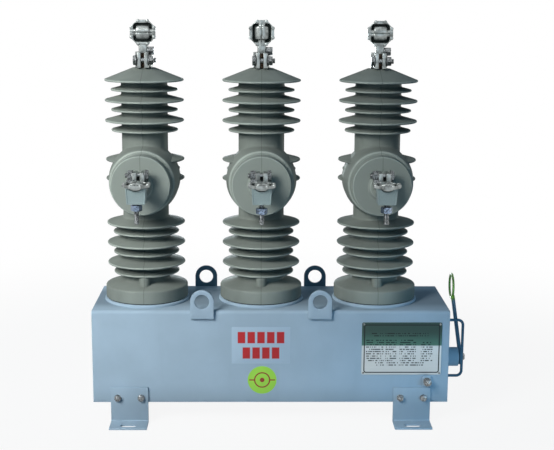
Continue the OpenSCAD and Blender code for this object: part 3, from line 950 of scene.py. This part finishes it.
def boss_loft():
    """A boss: its half-section turned about its axis, with a hollow round where it leaves the core.

    The core's surface lies at depth s = root(core^2 - x^2). Within r of it, the radius grows by
    r - root(r^2 - (s + r - depth)^2). The round's r fades to 0 at the core's sides and on the dome.
    """
    points = refined(boss_profile(), 2.5 * MM)
    turn = turns(144)[None]
    radius, depth = points[:, :1], points[:, 1:]
    surface = np.sqrt(np.clip(CORE ** 2 - (radius * np.cos(turn)) ** 2, 0, None))
    body = np.clip((radius - 62 * MM) / (18 * MM), 0, 1)
    hollow = 4 * MM * body * surface / CORE
    into = np.clip(surface + hollow - np.abs(depth), 0, hollow)
    grown = radius + hollow - np.sqrt(hollow ** 2 - into ** 2)
    return turned(grown, turn, depth)


def pole_lofts():
    """The closed shells that make one pole: upright, boss and the moulding stub over the flange."""
    upright = lathe(pole_profile(), 128)
    boss = boss_loft().placed((0, 0, BOSS_Z), X, Z, -Y)
    stub = profile(mm([(1, 0), (14, 0), (14, 36), (1, 36)]), mm((0, 1, 4, 0)))
    return upright, boss, lathe(stub, 48).placed((0, -70 * MM, POLE_LOW[2] + 28 * MM))


# Shapes of a line terminal, in its own frame: x across, y towards the ears, z along the stud

JAW_UNDER, JAW_UPPER, JAW_WINDOW, JAW_PLATE = 13.5 * MM, 21.5 * MM, 47 * MM, 48 * MM
KEEPER_LOW, KEEPER_HIGH = -26.3 * MM, 13.2 * MM
NUT_DROPS = {"left": 3 * MM, "center": 10 * MM, "right": 7 * MM}


def clamp_shapes():
    """Split clamp: a C-shaped section with two ears, carried along the stud, and the jaw's arm."""
    sleeve, bore, half_gap, ear, reach = 22 * MM, 13.05 * MM, 4 * MM, 15 * MM, 40 * MM
    slot = math.asin(half_gap / bore)
    turn = np.linspace(math.pi / 2 - slot, math.pi / 2 + slot - FULL_TURN, 40)
    inside = bore * circle(turn)
    edge = math.asin(ear / sleeve)
    turn = np.linspace(math.pi / 2 + edge, math.pi * 2.5 - edge, 48)
    outside = sleeve * circle(turn)
    corners = [(half_gap, 14 * MM), (ear, 14 * MM), (ear, reach), (half_gap, reach)]
    right = rounded(corners, mm((0, 0, 4, 2.5)), 8)
    right = right[right[:, 1] > 18 * MM]
    left = right[::-1] * (-1, 1)
    section = np.concatenate([outside, right, inside, left])
    sleeve_part = bar(section, 1 * MM, 40 * MM, 0.8 * MM)
    arm = bar(rectangle(22 * MM, 14 * MM, 3.5 * MM, (0, 14 * MM)), 38 * MM, 60 * MM, 0.5 * MM)
    return [sleeve_part, arm]


def pinch_bolts():
    """Bolt through the ears, with its head on one side and its nut and thread end on the other."""
    ear, up, along = 15 * MM, 31 * MM, 20 * MM
    head = {"origin": (ear, up, along), "x": Y, "y": Z, "z": X}
    nut = {"origin": (-ear, up, along), "x": Y, "y": -Z, "z": -X}
    shank = bar(disc(6.5 * MM, 32), -ear, ear).placed((0, up, along), Y, Z, X)
    parts = bolt_on(head, 24 * MM, head=7.2 * MM, washer_radius=15 * MM)
    parts += bolt_on(nut, 22 * MM, head=11 * MM, washer_radius=14 * MM, stub=6 * MM)
    return parts + [shank]


def arm_bolt():
    """Bolt that holds the jaw's arm, with its head beside the ears."""
    spot = {"origin": (-11 * MM, 14 * MM, 43.5 * MM), "x": Y, "y": -Z, "z": -X}
    return bolt_on(spot, 20 * MM, head=15 * MM, washer_radius=10.5 * MM)


def jaw_shapes():
    """Eight-sided jaw: a frame with a round boss at each corner, and a barrel along the conductor.

    At each place along it the barrel is half an ellipse. Its half-width and height fall from a swollen
    middle to narrow necks by a smooth step, and a narrow bell cuts a slit along its crest.
    """
    eighth = math.pi / 4
    corner = np.arange(8) * eighth + eighth / 2
    spin = circle(corner)
    to_flat, to_boss = 31.6 * MM, 31 * MM
    outer = rounded(to_flat / math.cos(eighth / 2) * spin, 4 * MM, 5)
    angles = directions(outer, 96)
    window = star(rectangle(JAW_WINDOW, JAW_WINDOW, 8 * MM), angles)
    shell = pierced(star(outer, angles), window, JAW_UNDER, JAW_UPPER, 1.2 * MM)
    foot, head, axis, radius = JAW_UNDER + 1 * MM, JAW_UPPER + 1.4 * MM, 0.4 * MM, 4.4 * MM
    corners = [(axis, foot), (radius, foot), (radius, head), (axis, head + 0.4 * MM)]
    dome = profile(corners, mm((0, 0.8, 2.2, 0)))
    bosses = [lathe(dome, 24).placed(tuple(to_boss * place) + (0,)) for place in spin]
    reach = 32 * MM * np.linspace(-1, 1, 65)[:, None]
    step = np.clip((np.abs(reach) - 14.5 * MM) / (4.5 * MM), 0, 1)
    swell = 1 - step ** 2 * (3 - 2 * step)
    arc = turns(56)[None]
    wide = 9.5 * MM + 9 * MM * swell * (1 - 0.15 * (reach / (15 * MM)) ** 2)
    tall = 6.5 * MM + 3 * MM * swell
    across = wide * np.cos(arc)
    slit = 2.4 * MM * np.exp(-((across / (1.5 * MM)) ** 2)) * (np.sin(arc) > 0)
    base = JAW_UNDER + 3 * MM
    rise = base + np.where(np.sin(arc) > 0, tall, 2 * MM) * np.sin(arc) - slit
    barrel = Loft(np.stack([across, rise, np.broadcast_to(reach, rise.shape)], 2))
    press = mm((14, 5.5)) * circle(np.linspace(0, -math.pi, 24)) + (0, JAW_UNDER + 0.6 * MM)
    saddle = bar(press[::-1], -24 * MM, 24 * MM, 0.6 * MM)
    under = bar(rectangle(JAW_PLATE, JAW_PLATE, 8 * MM), JAW_UNDER, JAW_UNDER + 0.6 * MM)
    return [part.placed((0, 0, 0), X, -Z, Y) for part in [shell, under] + bosses] + [barrel, saddle]


def jaw_floor():
    """Near-black slab of painted shade on the floor of the two recesses beside the barrel."""
    floor = bar(rectangle(JAW_PLATE, JAW_PLATE, 8 * MM), JAW_UNDER + 0.4 * MM, JAW_UNDER + 2.6 * MM)
    return floor.placed((0, 0, 0), X, -Z, Y)


def keeper_section(inward):
    """Outline of the keeper, moved inwards: tapered sides, a flat bottom and a round groove on top."""
    bottom, top = KEEPER_LOW + inward, KEEPER_HIGH - inward
    groove, centre = 19 * MM + inward, KEEPER_HIGH + 10.5 * MM
    turn = math.asin((centre - top) / groove)
    angle = np.linspace(-turn, -math.pi + turn, 25)
    dip = groove * circle(angle) + (0, centre)

    def half(level):
        return 24.5 * MM - 2.5 * MM * (KEEPER_HIGH - level) / (KEEPER_HIGH - KEEPER_LOW) - inward

    corners = [(half(bottom), bottom), (half(top), top), *dip, (-half(top), top), (-half(bottom), bottom)]
    radii = [2 * MM, 0.4 * MM] + [0] * len(dip) + [0.4 * MM, 2 * MM]
    return rounded(corners, radii, 5)


def keeper_shapes():
    """Keeper block: its outline carried along the conductor, with a raised rim on both end faces."""
    end, dish, border = 19 * MM, 0.9 * MM, 3.2 * MM
    steps = [
        (border + 0.3 * MM, dish), (border, 0.3 * MM), (border - 0.6 * MM, 0), (0.8 * MM, 0),
        (0.25 * MM, 0.25 * MM), (0, 0.9 * MM),
    ]
    rings = [at_height(keeper_section(inward), deep - end) for inward, deep in steps]
    rings += [at_height(keeper_section(inward), end - deep) for inward, deep in reversed(steps)]
    return [Loft(rings)]


KEEPER_DOWN = {"origin": (0, KEEPER_LOW, 0), "x": X, "y": Z, "z": -Y}


def screw_shape():
    """Clamping screw below the keeper."""
    screw = thread(6.5 * MM, -2 * MM, 51 * MM, pitch=3.6 * MM, depth=1.8 * MM)
    return screw.placed(**KEEPER_DOWN)


def nut_shape(drop):
    """Nut on the clamping screw, at a drop below the keeper."""
    return hexagon(24 * MM, drop, drop + 15 * MM).placed(**KEEPER_DOWN)


TERMINAL_MID = 89 * MM


def terminal_frame(end, pole):
    """Frame of a terminal on a pole's top or on its boss."""
    x = pole_axis(pole)
    if end == "top":
        return {"origin": np.array((x, 0, POLE_HIGH[2])), "x": -X, "y": -Y, "z": Z}
    return {"origin": np.array((x, POLE_LOW[1], BOSS_Z)), "x": X, "y": Z, "z": -Y}


def jaw_frame(end, pole):
    """Frame of a terminal's jaw, which lies across on the outer poles' tops."""
    spot = terminal_frame(end, pole)
    spot["origin"] = spot["origin"] + TERMINAL_MID * spot["z"]
    if end == "top" and pole != "center":
        spot["x"], spot["z"] = -spot["z"], spot["x"]
    return spot


# Operators

# Name, place, target, size, spread in degrees, power and colour
LAMPS = (
    ("key", (-1.7, -1.75, 1.85), (-0.55, -0.1, 0.62), 1.4, 48, 10.2, (1.0, 0.985, 0.96)),
    ("fill", (0.3, -3.4, 1.5), (0.0, 0.0, 0.5), 2.0, 180, 6, (0.32, 0.68, 1.0)),
    ("back", (-0.4, 3.8, 0.55), (0.0, 0.0, 0.5), 0.9, 180, 80, (0.85, 0.94, 1.0)),
    ("right", (2.4, 2.6, 0.6), (0.0, 0.0, 0.5), 0.9, 180, 18, (1.0, 0.98, 0.95)),
    ("top", (0.3, 0.1, 3.0), (0.1, 0.0, 0.3), 2.4, 180, 1.5, (0.30, 0.68, 1.0)),
    ("side", (1.15, -1.3, 0.3), (0.42, -0.13, 0.10), 0.3, 36, 0.28, (0.32, 0.70, 1.0)),
)


class RecloserStage(Operator):
    """Camera, lights, world and floor"""

    bl_idname = "recloser.stage"
    bl_label = "Stage"

    def execute(self, context):
        scene = context.scene
        scene.view_settings.view_transform = "Standard"
        self.camera(scene)
        for lamp in LAMPS:
            self.lamp(*lamp)
        self.world(scene)
        self.floor(scene)
        return {"FINISHED"}

    def camera(self, scene):
        """Camera at the photograph's place: pitch down, a little yaw and roll."""
        place = (-0.0431, -3.0302, 1.0910)
        pitch, yaw, roll = 0.1947, -0.0194, 0.0059
        right = np.array((math.cos(yaw), math.sin(yaw), 0))
        ahead = np.array((-math.sin(yaw), math.cos(yaw), 0))
        view = math.cos(pitch) * ahead - math.sin(pitch) * Z
        up = math.sin(pitch) * ahead + math.cos(pitch) * Z
        turned_right = math.cos(roll) * right + math.sin(roll) * up
        turned_up = math.cos(roll) * up - math.sin(roll) * right
        data = bpy.data.cameras.new("camera")
        data.sensor_width = 36.0
        data.lens = 76.57
        data.clip_end = 500.0
        camera = bpy.data.objects.new("camera", data)
        turn = Matrix(np.column_stack([turned_right, turned_up, -view]).tolist())
        camera.matrix_world = Matrix.Translation(place) @ turn.to_4x4()
        scene.collection.objects.link(camera)
        scene.camera = camera

    def lamp(self, name, place, target, size, spread, power, tint):
        """Square soft light aimed at a point, its beam spread over an angle in degrees."""
        data = bpy.data.lights.new(name, "AREA")
        data.size = size
        data.spread = math.radians(spread)
        data.energy = power
        data.color = tint
        lamp = bpy.data.objects.new(name, data)
        aim = Vector(place) - Vector(target)
        lamp.location = place
        lamp.rotation_euler = aim.to_track_quat("Z", "Y").to_euler()
        bpy.context.scene.collection.objects.link(lamp)

    def world(self, scene):
        """White to the camera and to reflections, dim and cool as light."""
        sheet = Sheet("studio", "worlds")
        cool = (0.45, 0.72, 1.0, 1.0)
        dim = sheet.node("ShaderNodeBackground", {}, {"Color": cool, "Strength": 0.15})
        white = sheet.node("ShaderNodeBackground", {}, {"Color": WHITE, "Strength": 1.0})
        both = sheet.node("ShaderNodeMixShader", {}, {0: sheet.seen(), 1: dim, 2: white})
        sheet.node("ShaderNodeOutputWorld", {}, {"Surface": both}, None)
        scene.world = sheet.owner

    def floor(self, scene):
        """Pale floor that keeps the object's shadow and fades to the white background."""
        sheet = Sheet("studio_floor")
        fade = sheet.away(x=0, y=0).ramp(0.7, 2.2)
        share = sheet.seen() * (0.90 + 0.10 * fade)
        plain = sheet.node("ShaderNodeBsdfDiffuse", {}, {"Color": (0.58, 0.60, 0.62, 1.0)})
        white = sheet.node("ShaderNodeEmission", {}, {"Color": WHITE, "Strength": 1.0})
        both = sheet.node("ShaderNodeMixShader", {}, {0: share, 1: plain, 2: white})
        sheet.node("ShaderNodeOutputMaterial", {}, {"Surface": both}, None)
        half, level = 60.0, -0.3 * MM
        sides = ((-1, -1), (1, -1), (1, 1), (-1, 1))
        corners = [(x * half, y * half, level) for x, y in sides]
        mesh = bpy.data.meshes.new("floor")
        mesh.from_pydata(corners, [], [(0, 1, 2, 3)])
        mesh.materials.append(sheet.owner)
        floor = bpy.data.objects.new("floor", mesh)
        scene.collection.objects.link(floor)


class RecloserTank(Operator):
    """Tank with its raised pole seats, bottom cover and gaskets"""

    bl_idname = "recloser.tank"
    bl_label = "Tank"

    def execute(self, context):
        dress(build("tank", tank_shapes()), tank_paint(), ["tank_body"])
        finish_node("bottom_cover", tank_paint())
        finish_node("pole_gaskets", grained("gasket_rubber"))
        return {"FINISHED"}


class RecloserFeet(Operator):
    """Bracket feet with their slots and bolts"""

    bl_idname = "recloser.feet"
    bl_label = "Feet"

    def execute(self, context):
        bolts = []
        for corner, facing in CORNERS:
            node = f"{corner}_foot"
            made = build(f"{node}_bracket", [foot_shape(node, facing)])
            cutter = build("slot_cutter", [slot_cutter(node, facing)])
            combine(made, [cutter], "DIFFERENCE")
            dress(made, tank_paint(), [node])
            bolts += self.bolts(node, facing)
        dress(build("foot_bolts", bolts), grained("bright_fastener"))
        return {"FINISHED"}

    def bolts(self, node, facing):
        """The two bolts that hold a foot to the tank."""
        x = middle(node)[0]
        z = high(node)[2] - sizes().foot_bolt_drop
        face = facing * (TANK_HIGH[1] + 5 * MM)
        half = sizes().foot_bolt_gap / 2
        width = sizes().foot_bolt
        parts = []
        for side in (-1, 1):
            spot = wall_frame(x + side * half, face, z, facing)
            parts += bolt_on(spot, width, head=7 * MM, washer_radius=8.8 * MM, stub=3 * MM)
        return parts


class RecloserLugs(Operator):
    """Lifting lugs with their holes"""

    bl_idname = "recloser.lugs"
    bl_label = "Lifting lugs"

    def execute(self, context):
        for corner, facing in CORNERS:
            node = f"{corner}_lug"
            shape = lug_shape(f"{corner}_lifting_hole", node)
            # The rear lugs take the darker lever paint as painted shade.
            paint = tank_paint() if facing < 0 else lever_paint()
            dress(build(f"{node}_plate", [shape]), paint, [node])
        return {"FINISHED"}


class RecloserPoles(Operator):
    """Cast poles with sheds and bosses"""

    bl_idname = "recloser.poles"
    bl_label = "Poles"

    def execute(self, context):
        shells = [build(f"pole_shell_{k}", [loft], smooth=32) for k, loft in enumerate(pole_lofts())]
        model = combine(shells[0], shells[1:], "UNION", smooth=32)
        for pole in POLES:
            mesh = model.data.copy()
            mesh.transform(Matrix.Translation((pole_axis(pole), 0, 0)))
            mesh.name = f"{pole}_casting"
            made = bpy.data.objects.new(mesh.name, mesh)
            context.scene.collection.objects.link(made)
            dress(made, cast_epoxy(pole), [f"{pole}_pole"])
        bpy.data.objects.remove(model)
        return {"FINISHED"}


class RecloserTerminals(Operator):
    """Line terminals: clamps, jaws, keepers and screws"""

    bl_idname = "recloser.terminals"
    bl_label = "Line terminals"

    def execute(self, context):
        for end in ("top", "front"):
            finish_node(f"{end}_studs", grained("copper_stud"))
            for pole in POLES:
                spot, head = terminal_frame(end, pole), jaw_frame(end, pole)
                self.part(f"{end}_{pole}_clamp", clamp_shapes(), spot, tinned_casting())
                self.part(f"{end}_{pole}_jaw", jaw_shapes(), head, tinned_casting())
                self.part(f"{end}_{pole}_keeper", keeper_shapes(), head, grained("frosted_metal"))
            self.fasteners(end)
        return {"FINISHED"}

    def part(self, node, shapes, spot, material):
        """One casting of a terminal."""
        made = build(f"{node}_casting", [shape.placed(**spot) for shape in shapes])
        dress(made, material, [node])

    def fasteners(self, end):
        """The screws, nuts, bolts and the painted shade on the recess floors of the three terminals at one end."""
        screws, nuts, bolts, floors = [], [], [], []
        for pole in POLES:
            spot, head = terminal_frame(end, pole), jaw_frame(end, pole)
            screws.append(screw_shape().placed(**head))
            nuts.append(nut_shape(NUT_DROPS[pole]).placed(**head))
            floors.append(jaw_floor().placed(**head))
            bolts += [shape.placed(**spot) for shape in pinch_bolts() + arm_bolt()]
        steel = grained("bright_fastener")
        dress(build(f"{end}_clamp_screws", screws), steel, [f"{end}_screws"])
        dress(build(f"{end}_screw_nuts", nuts), grained("blue_zinc"))
        dress(build(f"{end}_pinch_bolts", bolts), steel)
        dress(build(f"{end}_jaw_floors", floors), grained("tarnished_metal"))


class RecloserLever(Operator):
    """Trip lever with its boss, ring, bolt and guard"""

    bl_idname = "recloser.lever"
    bl_label = "Trip lever"

    def execute(self, context):
        self.boss()
        self.guard()
        self.lever()
        finish_node("lever_shaft", grained("bright_fastener"))
        return {"FINISHED"}

    def boss(self):
        """Turned boss on the tank's side."""
        lowest, highest = ends("pivot_boss")
        radius = (highest[1] - lowest[1]) / 2
        deep = highest[0] - lowest[0]
        outer, inner = disc(radius, 72), disc(10.4 * MM, 72)
        ring = pierced(outer, inner, 0, deep, 1.2 * MM)
        made = build("lever_boss", [ring.placed((lowest[0], PIVOT[1], PIVOT[2]), Y, Z, X)])
        dress(made, tank_paint(), ["pivot_boss"])

    def guard(self):
        """Rod bent into a U: a path with two round corners, in a plane across the tank."""
        lowest, highest = ends("lever_guard")
        rod = (highest[1] - lowest[1]) / 2
        near, far = lowest[0] - 1 * MM, highest[0] - rod
        bottom, top = lowest[2] + rod, highest[2] - rod
        corners = [(near, bottom), (far, bottom), (far, top), (near, top)]
        flat = profile(corners, mm((0, 14, 14, 0)), 12)
        path = np.column_stack([flat[:, 0], np.full(len(flat), middle("lever_guard")[1]), flat[:, 1]])
        made = build("lever_guard_rod", [tube(path, rod, Y)])
        dress(made, lever_paint(), ["lever_guard"])

    def lever(self):
        """Bar with a round hub, a dipped ring and a pivot bolt, all in the lever's own plane."""
        arm = RING - PIVOT
        reach = float(np.linalg.norm(arm[1:]))
        along = np.array((0, arm[1], arm[2])) / reach
        aside = np.cross(X, along)
        lowest, highest = ends("trip_lever")
        thick = highest[0] - lowest[0]
        centre = np.array(((lowest[0] + highest[0]) / 2, PIVOT[1], PIVOT[2]))
        spot = {"origin": centre, "x": along, "y": aside, "z": X}
        rod, _, outer = high("lever_ring") - RING
        mean = outer - rod
        coat, half, hub = 0.5 * MM, 8 * MM, 21 * MM
        edge = math.asin(half / hub)
        turn = np.linspace(edge, FULL_TURN - edge, 60)
        end = reach - mean - 0.7 * rod
        tip = rounded([(end, -half), (end, half), (0, half), (0, -half)], mm((3, 3, 0, 0)))
        tip = tip[tip[:, 0] > hub]
        outline = np.concatenate([hub * circle(turn), tip])
        blade = bar(outline, -thick / 2, thick / 2, 1.6 * MM)
        made = build("trip_lever_bar", [blade.placed(**spot)])
        dress(made, lever_paint(), ["trip_lever"], SWINGING)
        ring = torus(mean, rod + coat).placed(centre + reach * along, along, aside, X)
        made = build("trip_lever_ring", [ring])
        dress(made, grained("green_coat"), ["lever_ring"], SWINGING)
        outside = {"origin": centre + thick / 2 * X, "x": Y, "y": Z, "z": X}
        bolt = bolt_on(outside, 15.6 * MM, head=5.2 * MM, washer_radius=11 * MM)
        made = build("pivot_bolt", bolt)
        dress(made, grained("bright_fastener"), ["lever_bolt"], SWINGING)


class RecloserPlates(Operator):
    """Rating plate, plain label, round sticker and earth terminal"""

    bl_idname = "recloser.plates"
    bl_label = "Plates and earth terminal"

    def execute(self, context):
        self.rating_plate()
        self.label()
        self.sticker()
        self.earth()
        return {"FINISHED"}

    def rating_plate(self):
        """Thin plate with round corners and a rivet in each."""
        lowest, highest = ends("rating_plate")
        wide, deep, tall = highest - lowest
        centre = middle("rating_plate")
        spot = wall_frame(centre[0], highest[1], centre[2], -1)
        plate = bar(rectangle(wide, tall, 4 * MM), 0, deep, 0.6 * MM).placed(**spot)
        dress(build("rating_plate_sheet", [plate]), plate_print(), ["rating_plate"])
        dome = profile(mm([(0.4, 0), (3, 0), (2.4, 1.4), (0.4, 1.6)]), mm((0, 0, 0.8, 0)))
        rivet_in = 4.6 * MM
        rivets = []
        for sx in (-1, 1):
            for sz in (-1, 1):
                x = centre[0] + sx * (wide / 2 - rivet_in)
                z = centre[2] + sz * (tall / 2 - rivet_in)
                rivets.append(lathe(dome, 24).placed(**wall_frame(x, lowest[1], z, -1)))
        dress(build("plate_rivets", rivets), grained("bright_fastener"))

    def label(self):
        """Plain vinyl label on the tank's front."""
        x, z = -26 * MM, 206 * MM
        outline = rectangle(sizes().label_width, sizes().label_height, 2 * MM)
        self.film("plain_label", outline, x, z, label_print(x, z), "tank_paint")

    def sticker(self):
        """Round vinyl sticker on the tank's front."""
        x, z = -22.8 * MM, 113.4 * MM
        radius = sizes().sticker / 2
        self.film("round_sticker", disc(radius, 72), x, z, sticker_print(x, z, radius), "green_coat")

    def film(self, name, outline, x, z, material, slot):
        """Thin vinyl of an outline, stuck on the tank's front."""
        vinyl = bar(outline, 0, 0.25 * MM, 0.1 * MM).placed(**wall_frame(x, TANK_LOW[1], z, -1))
        dress(build(name, [vinyl]), material)

    def earth(self):
        """Earth terminal: a pad, a threaded stud, two washers and two nuts."""
        lowest, highest = ends("earth_terminal")
        x, _, z = middle("earth_terminal")
        spot = wall_frame(x, TANK_LOW[1], z, -1)
        wide, _, tall = highest - lowest
        pad = bar(rectangle(wide, tall, 3 * MM), 0, 4 * MM, 0.8 * MM)
        parts = [
            thread(5 * MM, 3 * MM, 28 * MM, pitch=1.5 * MM, depth=0.8 * MM),
            washer(10 * MM, 5 * MM, 4 * MM, 5.6 * MM),
            hexagon(16 * MM, 5.6 * MM, 12 * MM),
            washer(10 * MM, 5 * MM, 15 * MM, 16.6 * MM),
            hexagon(16 * MM, 16.6 * MM, 23 * MM),
        ]
        dress(build("earth_pad", [pad.placed(**spot)]), tank_paint())
        made = build("earth_stud", [part.placed(**spot) for part in parts])
        dress(made, grained("bright_fastener"), ["earth_terminal"])


class RecloserPanel(Panel):
    """Lists the steps and the values they use"""

    bl_idname = "VIEW3D_PT_recloser"
    bl_label = "Recloser"
    bl_space_type = "VIEW_3D"
    bl_region_type = "UI"
    bl_category = "Recloser"

    def draw(self, context):
        for step in STEPS:
            self.layout.operator(step.bl_idname)
        for group in (context.scene.recloser_sizes, context.scene.recloser_colours):
            box = self.layout.box()
            for key in group.__annotations__:
                box.prop(group, key)


GROUPS = (RecloserSizes, RecloserColours)
STEPS = (
    RecloserStage, RecloserTank, RecloserFeet, RecloserLugs, RecloserPoles, RecloserTerminals,
    RecloserLever, RecloserPlates,
)


def register():
    """Registers the classes and the scene's values."""
    for made in GROUPS + STEPS + (RecloserPanel,):
        bpy.utils.register_class(made)
    bpy.types.Scene.recloser_sizes = PointerProperty(type=RecloserSizes)
    bpy.types.Scene.recloser_colours = PointerProperty(type=RecloserColours)


def unregister():
    """Removes the scene's values and the classes."""
    del bpy.types.Scene.recloser_colours
    del bpy.types.Scene.recloser_sizes
    for made in reversed(GROUPS + STEPS + (RecloserPanel,)):
        bpy.utils.unregister_class(made)


def main():
    """Runs every step in order."""
    register()
    for step in STEPS:
        group, name = step.bl_idname.split(".")
        getattr(getattr(bpy.ops, group), name)()


if __name__ == "__main__":
    main()
